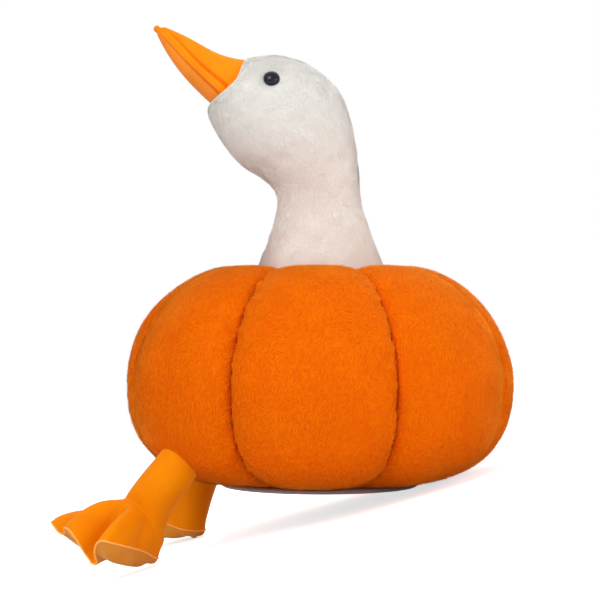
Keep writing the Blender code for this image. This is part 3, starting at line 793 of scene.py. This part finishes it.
class HeadLooks(bpy.types.PropertyGroup):
    """Sizes and colours of the neck, head, bill and eyes."""

    neck_foot_radius: a_length("Neck foot", "Radius where the neck sits down", 47.5)
    neck_seat_height: a_length("Neck seat", "Height where the neck starts", 175.3)
    pile_length: a_length("Pile length", "Length of a tuft", 2.6)
    pile_thickness: a_length("Pile thickness", "Depth of the brushed pile", 0.6)
    pile_count: IntProperty(name="Tufts", description="Tufts on the head and neck", default=150000)
    dark: a_colour("Dark", "Root of the pile", (0.75, 0.71, 0.65))
    light: a_colour("Light", "Tip of the pile", (0.81, 0.79, 0.745))
    # Painted light: the warm tone that the pile takes below the cheeks, for the glow thrown up from the pumpkin onto
    # the throat and neck
    low: a_colour("Low", "Tone of the throat and neck", (0.90, 0.785, 0.705))
    mouth_y: a_length("Mouth corner y", "Corner of the mouth", -84.5)
    mouth_z: a_length("Mouth corner z", "Corner of the mouth", 336)
    tip_y: a_length("Bill tip y", "Tip of the bill", -143.3)
    tip_z: a_length("Bill tip z", "Tip of the bill", 394.9)
    half_width: a_length("Bill half width", "Half its width at the face", 21)
    upper_height: a_length("Upper height", "Even slope of the upper ridge", 15.5)
    upper_flare: a_length("Upper flare", "Spread up the forehead", 19)
    lower_height: a_length("Lower height", "Depth of the lower half", 13.6)
    tip_radius: a_length("Tip radius", "Small round knob at the tip", 2.9)
    bill_dark: a_colour("Bill dark", "Shade of the bill", (0.80, 0.165, 0.0008))
    bill_light: a_colour("Bill light", "Light of the bill", (0.93, 0.29, 0.006))
    lower_dark: a_colour("Lower dark", "Shade of the lower half", (0.62, 0.15, 0.012))
    lower_light: a_colour("Lower light", "Light of the lower half", (0.82, 0.27, 0.035))
    eye_radius: a_length("Eye radius", "Radius of an eye", 6.9)
    eye_dome: a_length("Eye dome", "How far an eye bulges", 4.6)
    eye_colour: a_colour("Eye", "Colour of the eyes", (0.004, 0.005, 0.010))


class FootLooks(bpy.types.PropertyGroup):
    """Sizes and colours of the legs and feet, given for the left one."""

    leg_radius: a_length("Leg radius", "Radius of a leg", 17.3)
    ankle_swell: a_number("Ankle swell", "How much wider a leg ends", 0.13)
    origin: FloatVectorProperty(
        name="Foot", description="Middle of the heel", default=(89.5 * MM, -135 * MM, -45 * MM), unit="LENGTH"
    )
    splay: an_angle("Splay", "How far the feet turn out", 37)
    pitch_left: an_angle("Left pitch", "Toes of the left foot up", 17)
    pitch_right: an_angle("Right pitch", "Toes of the right foot up", 5)
    roll: an_angle("Roll", "Outer edge down", 3)
    heel_radius: a_length("Heel", "Radius of the heel", 19.5)
    inner_angle: a_number("Inner angle", "Degrees to the inner toe", 27)
    outer_angle: a_number("Outer angle", "Degrees to the outer toe", 39)
    inner_toe: a_length("Inner toe", "Its length", 78)
    middle_toe: a_length("Middle toe", "Its length", 71)
    outer_toe: a_length("Outer toe", "Its length", 71)
    web_share: a_number("Inner web", "Where the web ends, of a toe", 0.80)
    deep_web_share: a_number("Outer web", "Where the web ends, of a toe", 0.64)
    heel_tuck: a_number("Heel tuck", "How far the seam draws in at the heel", 0.30)
    heel_drop: a_length("Heel drop", "How far the seam sinks at the heel", 4.2)
    right_back: a_length("Right foot back", "How far the right foot sits behind the left", 7)
    web_sag: a_number("Web sag", "How low the web lies", 0.38)
    web_drop: a_length("Web drop", "How far the rim dips between toes", 21)
    piping: a_length("Piping", "Radius of the rolled seam", 0.8)
    rise: a_length("Rise", "Padding above the rim", 42)
    fall: a_length("Fall", "Padding below the heel", 10.3)
    ball_fall: a_length("Ball", "Further padding under the ball", 10)
    dark: a_colour("Dark", "Shade of the velvet", (0.70, 0.155, 0.0002))
    light: a_colour("Light", "Light of the velvet", (0.84, 0.27, 0.0004))
    # Painted highlight: the piping runs from the leg's light tone to this pale one, standing in for the sheen along
    # the rolled seam
    rim: a_colour("Rim", "Pale edge of the rolled seam", (1.0, 0.50, 0.12))
    sole_dark: a_colour("Sole dark", "Shade of the soles", (0.54, 0.17, 0.010))
    sole_light: a_colour("Sole light", "Light of the soles", (0.70, 0.29, 0.045))


class StudioLooks(bpy.types.PropertyGroup):
    """Camera and light."""

    azimuth: an_angle("Azimuth", "Where the camera stands round the upright toy", 97)
    distance: a_length("Distance", "From the camera to the toy", 1663)
    height: a_length("Height", "Of the camera over the base panel", 158.6)
    shift: a_length("Shift", "Of the camera towards the toy's front", 16.7)
    lens: a_number("Lens", "Focal length in millimetres", 116.7)
    key: a_number("Key light", "Its power in watts", 16.5)
    fill: a_number("Fill light", "Its power in watts", 20.0)
    rim: a_number("Rim light", "Power in watts of the lamp behind and above", 12.0)
    sky: a_number("Sky", "Strength of the light from all round", 0.81)


# Operators


def eye_seat(sizes, node):
    """Where an eye sits on the side of the head: (point, outward normal), from its solid and the head near it."""
    corners = [STANCE.inverted() @ vertex.co for vertex in node.data.vertices]
    centre = np.array(corners).mean(0)
    rings, _ = head_grid(sizes, 18, 168)
    gap = np.linalg.norm(rings - centre, axis=-1)
    i, j = np.unravel_index(gap.argmin(), gap.shape)
    around = rings[i, (j + 1) % rings.shape[1]] - rings[i, j - 1]
    normal = np.cross(around, rings[i + 1, j] - rings[i - 1, j])
    normal /= np.linalg.norm(normal)
    return centre + normal * ((rings[i, j] - centre) @ normal), normal


def eye_rings(sizes, seat, normal):
    """Rings from the crest of an eye's dome, a quarter of an ellipse, over its rim to its back in the head."""
    b = np.linspace(0.03, 1, 18) * np.pi / 2
    share, low = np.array(EYE_BACK).T
    radius = np.concatenate([np.sin(b), share]) * sizes.eye_radius
    height = np.concatenate([np.cos(b) * sizes.eye_dome, low * MM])
    turn = np.array(Vector(normal).to_track_quat("Z", "Y").to_matrix())
    return turned_rings(radius, height, 72) @ turn.T + seat - normal * EYE_SINK + EYE_SHIFT


class GOOSE_OT_pumpkin(bpy.types.Operator):
    """Build the seven gores with their pile, and the base panel"""

    bl_idname = "goose.pumpkin"
    bl_label = "Build the Pumpkin"

    def execute(self, context):
        looks = context.scene.goose_pumpkin
        middle_tone = between(looks.dark, looks.light)
        skin = plush_skin("pumpkin_skin", looks.dark, middle_tone, looks.light)
        pile = plush_pile("pumpkin_pile", middle_tone, looks.light, SHEEN["pumpkin"])
        for gore in range(GORES):
            middle = looks.phase + 2 * math.pi / GORES * gore
            grid, inside, weight = gore_grid(looks, middle)
            core = np.array([math.sin(middle), -math.cos(middle), 0]) * 3 * MM
            spine = grid[:, :1] * [0, 0, 1] + core
            points, faces = closed_loft(np.concatenate([grid, spine], 1)[::-1])
            # Painted shade for each seam's crease: full at the seam, fading within a few hundredths of the way to the
            # gore's middle; the skin gets it in its tip layer
            seam = np.exp(-inside / 0.016) * np.minimum(1, 4 * weight)[:, None]
            seam = np.concatenate([np.concatenate([seam, seam[:, :1] * 0], 1)[::-1].ravel(), [0, 0]])
            piece = add_piece(
                f"gore_{gore + 1}", points, faces, skin, (f"pumpkin_gore_{gore + 1}",), tips=seam
            )
            shares = smooth(0.5 * (weight[:-1] + weight[1:]), 0.05, 0.3)[:, None]
            shares = shares * (0.12 + 0.88 * smooth(inside[:-1, :-1], 0, 0.10))
            points, faces, uv, normals, tips = pile_on(
                looks, grid, grid_normals(grid), TUFT_WIDTH, seed=100 + 10 * gore, comb=(0.5, -1.0), shares=shares
            )
            add_piece(f"gore_pile_{gore + 1}", points, faces, pile, (), uv, normals, tips)
        points, faces = closed_loft(turned_rings(*np.array(BASE_EDGE).T * MM, 120), flip=True)
        cloth = woven("base_cloth", looks.base_dark, looks.base_light)
        add_piece("base_cloth", points, faces, cloth, ("base_panel",))
        return {"FINISHED"}


class GOOSE_OT_head(bpy.types.Operator):
    """Build the neck and head with their pile, the bill and the eyes"""

    bl_idname = "goose.head"
    bl_label = "Build the Head"

    def execute(self, context):
        looks = context.scene.goose_head
        light = looks.light
        middle_tone = between(looks.dark, light)
        seats = [eye_seat(looks, frame["nodes"][f"eye_{word}"]) for word in ("left", "right")]
        rings, normals = head_skin(looks, [seat[0] for seat in seats])
        points, faces = closed_loft(rings)
        skin = plush_skin("head_skin", middle_tone, light, light)
        head = add_piece("head_skin", points, faces, skin, ("head_and_neck",))
        grid = np.concatenate([rings, rings[:, :1]], 1)
        around = np.concatenate([normals, normals[:, :1]], 1)
        gaps = [np.linalg.norm(grid - seat[0], axis=-1) for seat in seats]
        shares = smooth(np.minimum(*gaps), 6.5 * MM, 8.0 * MM)[:-1, :-1]
        points, faces, uv, lit, tips = pile_on(
            looks, grid, around, HEAD_TUFT_WIDTH, seed=300, comb=(0.0, -1.0), shares=shares, stray=0.012
        )
        # Below 0.27 m the pile turns to the low tone, painted warm light from the pumpkin, which fades out by 0.37 m
        pile = plush_pile("head_pile", middle_tone, light, light, looks.low, (0.27, 0.37))
        add_piece("head_pile", points, faces, pile, (), uv, lit, tips)
        for word, sign, tones in (
            ("upper", 1, (looks.bill_dark, looks.bill_light)), ("lower", -1, (looks.lower_dark, looks.lower_light))
        ):
            cloth = velvet(f"bill_{word}_velvet", *tones, SHEEN["bill"], 0.5)
            grid = bill_grid(looks, sign, 0.03 * MM)
            points, faces = closed_loft(grid, flip=sign > 0)
            piece = add_piece(f"bill_{word}_skin", points, faces, cloth, (f"bill_{word}",))
        black = gloss("eye_gloss", looks.eye_colour)
        plastic = moulded("washer_plastic", WASHER_GREY)
        for word, (seat, normal) in zip(("left", "right"), seats):
            points, faces = closed_loft(eye_rings(looks, seat, normal), flip=True)
            add_piece(f"eye_{word}_dome", points, faces, black, (f"eye_{word}",))
            washer = frame["nodes"][f"eye_washer_{word}"]
            washer.data.materials.clear()
            washer.data.materials.append(plastic)
        return {"FINISHED"}


class GOOSE_OT_legs(bpy.types.Operator):
    """Build the velvet legs, feet and soles"""

    bl_idname = "goose.legs"
    bl_label = "Build the Legs and Feet"

    def execute(self, context):
        looks = context.scene.goose_feet
        cloth = velvet("leg_velvet", looks.dark, looks.light, SHEEN["leg"], 0.75)
        under = velvet("sole_velvet", looks.sole_dark, looks.sole_light, SHEEN["sole"], 0.8)
        # The piping is velvet with its own sheen, and its pale rim tone is a painted highlight along the rolled seam
        piping_painted_highlight = velvet("piping_velvet", looks.light, looks.rim, SHEEN["piping"], 1.0)
        for word, side, pitch in (("left", 1, looks.pitch_left), ("right", -1, looks.pitch_right)):
            upper = leg_and_foot(looks, side, pitch)
            rim = upper[-1:]
            inside = rim * 0.97 + rim.mean(1, keepdims=True) * 0.03
            points, faces = closed_loft(np.concatenate([upper, inside]), flip=side > 0)
            leg = add_piece(
                f"leg_{word}_velvet", points, faces, cloth, (f"leg_{word}", f"foot_{word}")
            )
            share = 1 - (1 - np.linspace(0.03, 1, 30)[:, None]) ** 1.35
            under_face = foot_rings(looks, side, pitch, lambda reach: share + 0 * reach, -1)
            points, faces = closed_loft(np.concatenate([under_face, inside]), flip=side < 0)
            sole = add_piece(f"sole_{word}_velvet", points, faces, under, (f"foot_sole_{word}",))
            tube = tube_grid(rim[0], looks.piping)
            rows, columns = tube.shape[:2]
            faces = ring_faces(rows + 1, columns) % (rows * columns)
            add_piece(
                f"piping_{word}", tube.reshape(-1, 3), (faces[:, ::-1] if side < 0 else faces).tolist(), piping_painted_highlight,
            )
        return {"FINISHED"}


class GOOSE_OT_studio(bpy.types.Operator):
    """Build the floor, the light and the camera"""

    bl_idname = "goose.studio"
    bl_label = "Build the Studio"

    def execute(self, context):
        looks = context.scene.goose_studio
        scene = context.scene
        scene.view_settings.view_transform = "Standard"
        mesh = bpy.data.meshes.new("floor")
        corners = [(x * FLOOR_HALF, y * FLOOR_HALF, -FLOOR_SINK) for x, y in ((-1, -1), (1, -1), (1, 1), (-1, 1))]
        mesh.from_pydata(corners, [], [(0, 1, 2, 3)])
        floor = bpy.data.objects.new("floor", mesh)
        scene.collection.objects.link(floor)
        g = Graph("floor_paper")
        plain = g.add("ShaderNodeBsdfDiffuse", {}, Color=FLOOR_GREY)
        glow = g.add("ShaderNodeEmission", {}, Color=WHITE, Strength=FLOOR_GLOW)
        both = g.add("ShaderNodeAddShader", {}, i0=plain, i1=glow)
        g.add("ShaderNodeOutputMaterial", {}, i0=g.add("ShaderNodeMixShader", {}, i0=g.seen(), i1=plain, i2=both))
        mesh.materials.append(g.owner)

        scene.world = bpy.data.worlds.new("studio")
        g = Graph(scene.world)
        sky = g.add("ShaderNodeBackground", {}, Color=WHITE, Strength=looks.sky)
        white = g.add("ShaderNodeBackground", {}, Color=WHITE, Strength=1.0)
        g.add("ShaderNodeOutputWorld", {}, i0=g.add("ShaderNodeMixShader", {}, i0=g.seen(), i1=sky, i2=white))

        a = looks.azimuth
        right = Vector((math.cos(a), math.sin(a), 0))
        back = Vector((math.sin(a), -math.cos(a), 0))
        up = Vector((0, 0, 1))
        look = Matrix((right, up, back)).transposed().to_4x4()
        look.translation = back * looks.distance - right * looks.shift + up * looks.height
        data = bpy.data.cameras.new("camera")
        data.sensor_width = 36
        data.lens = looks.lens
        data.clip_start = 0.05
        camera = bpy.data.objects.new("camera", data)
        scene.collection.objects.link(camera)
        camera.matrix_world = STANCE @ look
        scene.camera = camera

        target = STANCE @ Vector((0, 0, LIT_HEIGHT))
        for name, (size, (behind, aside, above)) in LAMPS.items():
            lamp = bpy.data.lights.new(name, "AREA")
            lamp.energy = getattr(looks, name)
            lamp.size = size
            obj = bpy.data.objects.new(name, lamp)
            scene.collection.objects.link(obj)
            offset = back * behind + right * aside + up * above
            stand = STANCE @ (offset + Vector((0, 0, LIT_HEIGHT)))
            turn = (stand - target).to_track_quat("Z", "Y").to_matrix().to_4x4()
            obj.matrix_world = Matrix.Translation(stand) @ turn
        return {"FINISHED"}


class GOOSE_PT_panel(bpy.types.Panel):
    """Sizes, colours and steps of the plush goose"""

    bl_label = "Plush Goose"
    bl_idname = "GOOSE_PT_panel"
    bl_space_type = "VIEW_3D"
    bl_region_type = "UI"
    bl_category = "Goose"

    def draw(self, context):
        layout = self.layout
        for operator, _, name in STEPS:
            layout.operator(operator.bl_idname)
            looks = getattr(context.scene, name)
            for key in looks.__annotations__:
                layout.prop(looks, key)


STEPS = (
    (GOOSE_OT_pumpkin, PumpkinLooks, "goose_pumpkin"),
    (GOOSE_OT_head, HeadLooks, "goose_head"),
    (GOOSE_OT_legs, FootLooks, "goose_feet"),
    (GOOSE_OT_studio, StudioLooks, "goose_studio"),
)


def register():
    for operator, group, name in STEPS:
        bpy.utils.register_class(group)
        setattr(bpy.types.Scene, name, PointerProperty(type=group))
        bpy.utils.register_class(operator)
    bpy.utils.register_class(GOOSE_PT_panel)


def unregister():
    bpy.utils.unregister_class(GOOSE_PT_panel)
    for operator, group, name in reversed(STEPS):
        bpy.utils.unregister_class(operator)
        delattr(bpy.types.Scene, name)
        bpy.utils.unregister_class(group)


def main():
    register()
    bpy.ops.goose.pumpkin()
    bpy.ops.goose.head()
    bpy.ops.goose.legs()
    bpy.ops.goose.studio()
    bpy.context.view_layer.update()


if __name__ == "__main__":
    main()
